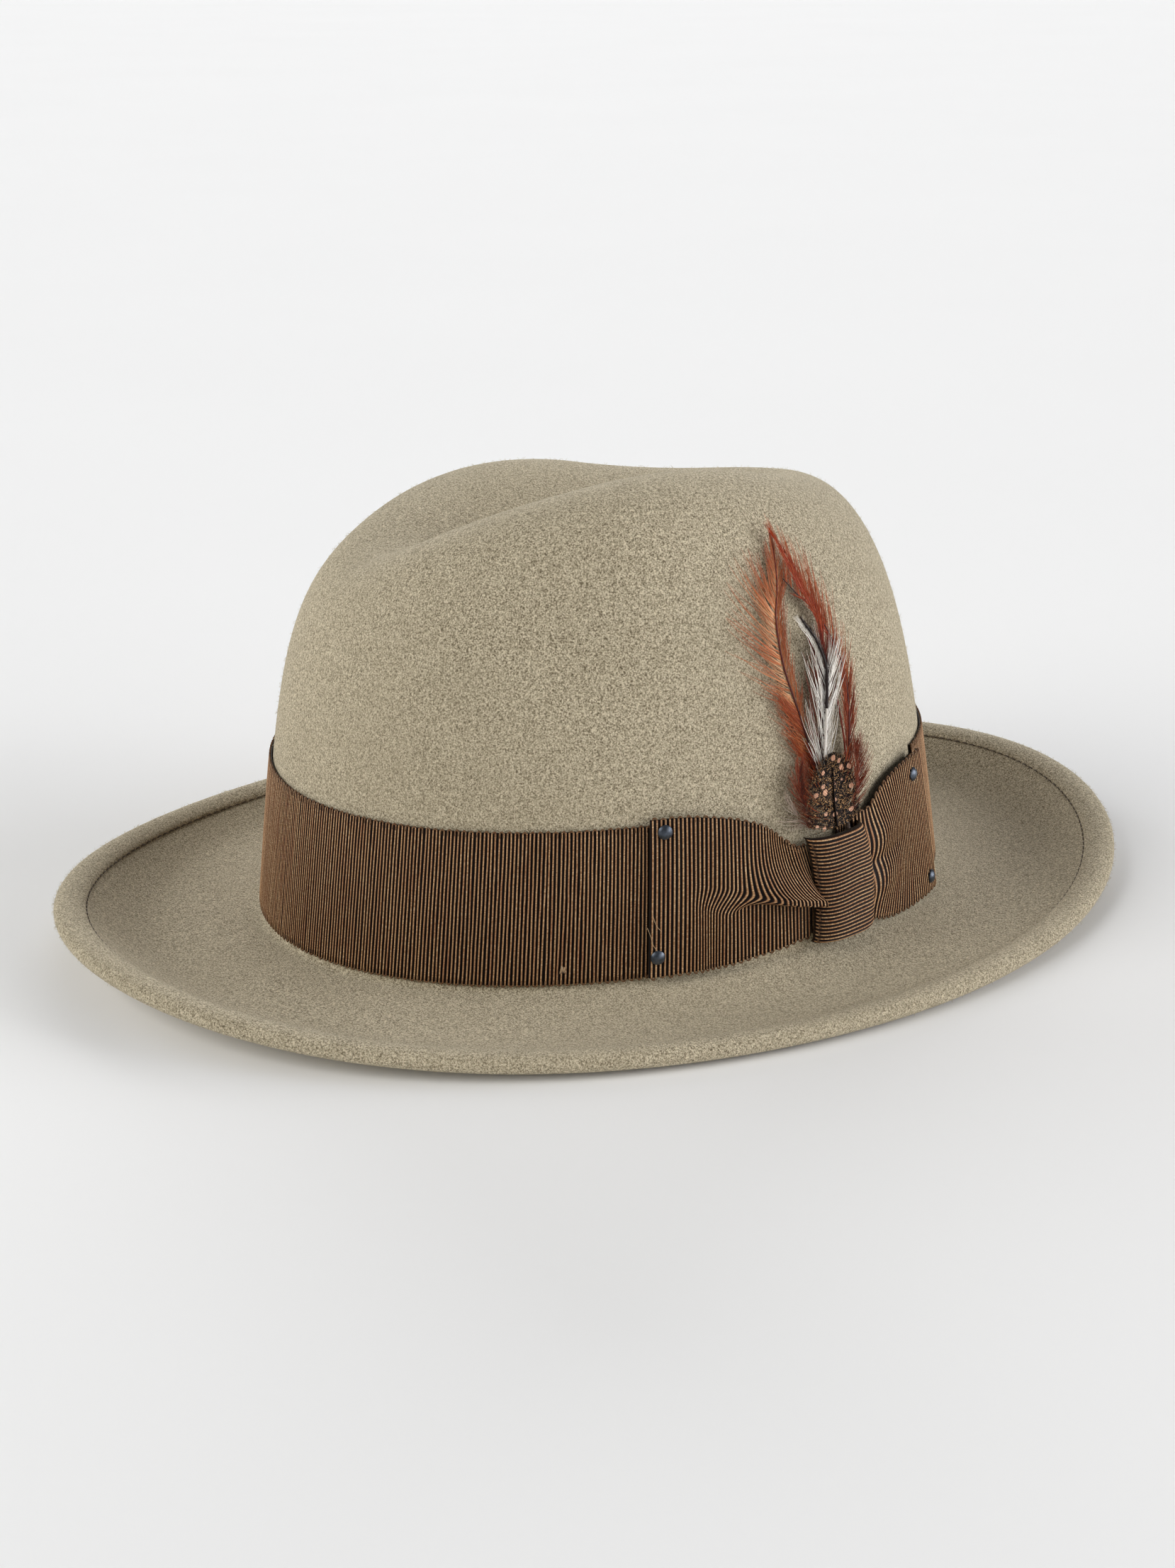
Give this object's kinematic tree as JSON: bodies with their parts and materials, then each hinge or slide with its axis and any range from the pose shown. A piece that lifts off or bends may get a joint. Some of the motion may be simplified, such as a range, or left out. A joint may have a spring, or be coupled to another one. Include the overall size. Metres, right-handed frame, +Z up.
{
  "type": "fedora hat",
  "caption": "Felt fedora hat with a creased crown, snap brim with a welted edge, ribbed ribbon band with a studded side bow, slide-in feather mount, leather sweatband and satin lining.",
  "frame": {"origin": "on the level that the brim's underside rests on, below the middle of the hat's outline", "axes": "+Z up, the front of the hat towards -Y, the wearer's left side with the bow and the feathers towards +X"},
  "size_m": [0.2602, 0.3288, 0.1342],
  "materials": {
    "felt": "brushed wool felt, matt with a fine nap",
    "thread": "matt sewing thread",
    "grosgrain": "ribbed grosgrain ribbon with a low sheen",
    "grosgrain_thread": "matt sewing thread in the ribbon's colour",
    "gunmetal": "dark gunmetal domes, satin",
    "quill": "bound feather quills, satin horn",
    "orange_feather": "loose feather barbs, soft sheen",
    "red_feather": "loose feather barbs, soft sheen",
    "striped_feather": "white barbs with a black middle, soft sheen",
    "guinea_feather": "dark barbs with pale round spots",
    "down": "downy barbs, matt",
    "sweatband_leather": "smooth calf leather, satin",
    "trim_ribbon": "narrow satin ribbon",
    "satin": "satin lining with a soft gloss",
    "satin_cord": "twisted rayon cord",
    "tag": "plain woven tag, matt"
  },
  "bodies": {
    "hat": {"felt_body": "felt", "brim_welt_thread": "thread", "hatband": "grosgrain", "hatband_tack_1": "grosgrain_thread", "hatband_tack_2": "grosgrain_thread", "hatband_tack_3": "grosgrain_thread", "hatband_tack_4": "grosgrain_thread", "bow_ribbon": "grosgrain", "bow_knot": "grosgrain", "bow_stud_1": "gunmetal", "bow_stud_2": "gunmetal", "bow_stud_3": "gunmetal", "bow_stud_4": "gunmetal", "sweatband": "sweatband_leather", "sweatband_reed": "sweatband_leather", "sweatband_thread": "thread", "sweatband_bow": "trim_ribbon", "sweatband_bow_knot": "trim_ribbon", "lining_side": "satin", "lining_tip": "satin", "lining_piping": "satin_cord", "size_tag": "tag"},
    "feather_mount": {"quill_stem": "quill", "orange_hackle": "orange_feather", "red_hackle": "red_feather", "striped_hackle": "striped_feather", "guinea_feather": "guinea_feather", "down_tuft": "down"}
  },
  "joints": [
    {"name": "feather_slide", "type": "slide", "parent": "hat", "child": "feather_mount", "axis": [-0.0548, -0.0658, 0.9963], "range_m": [0, 0.03]}
  ]
}
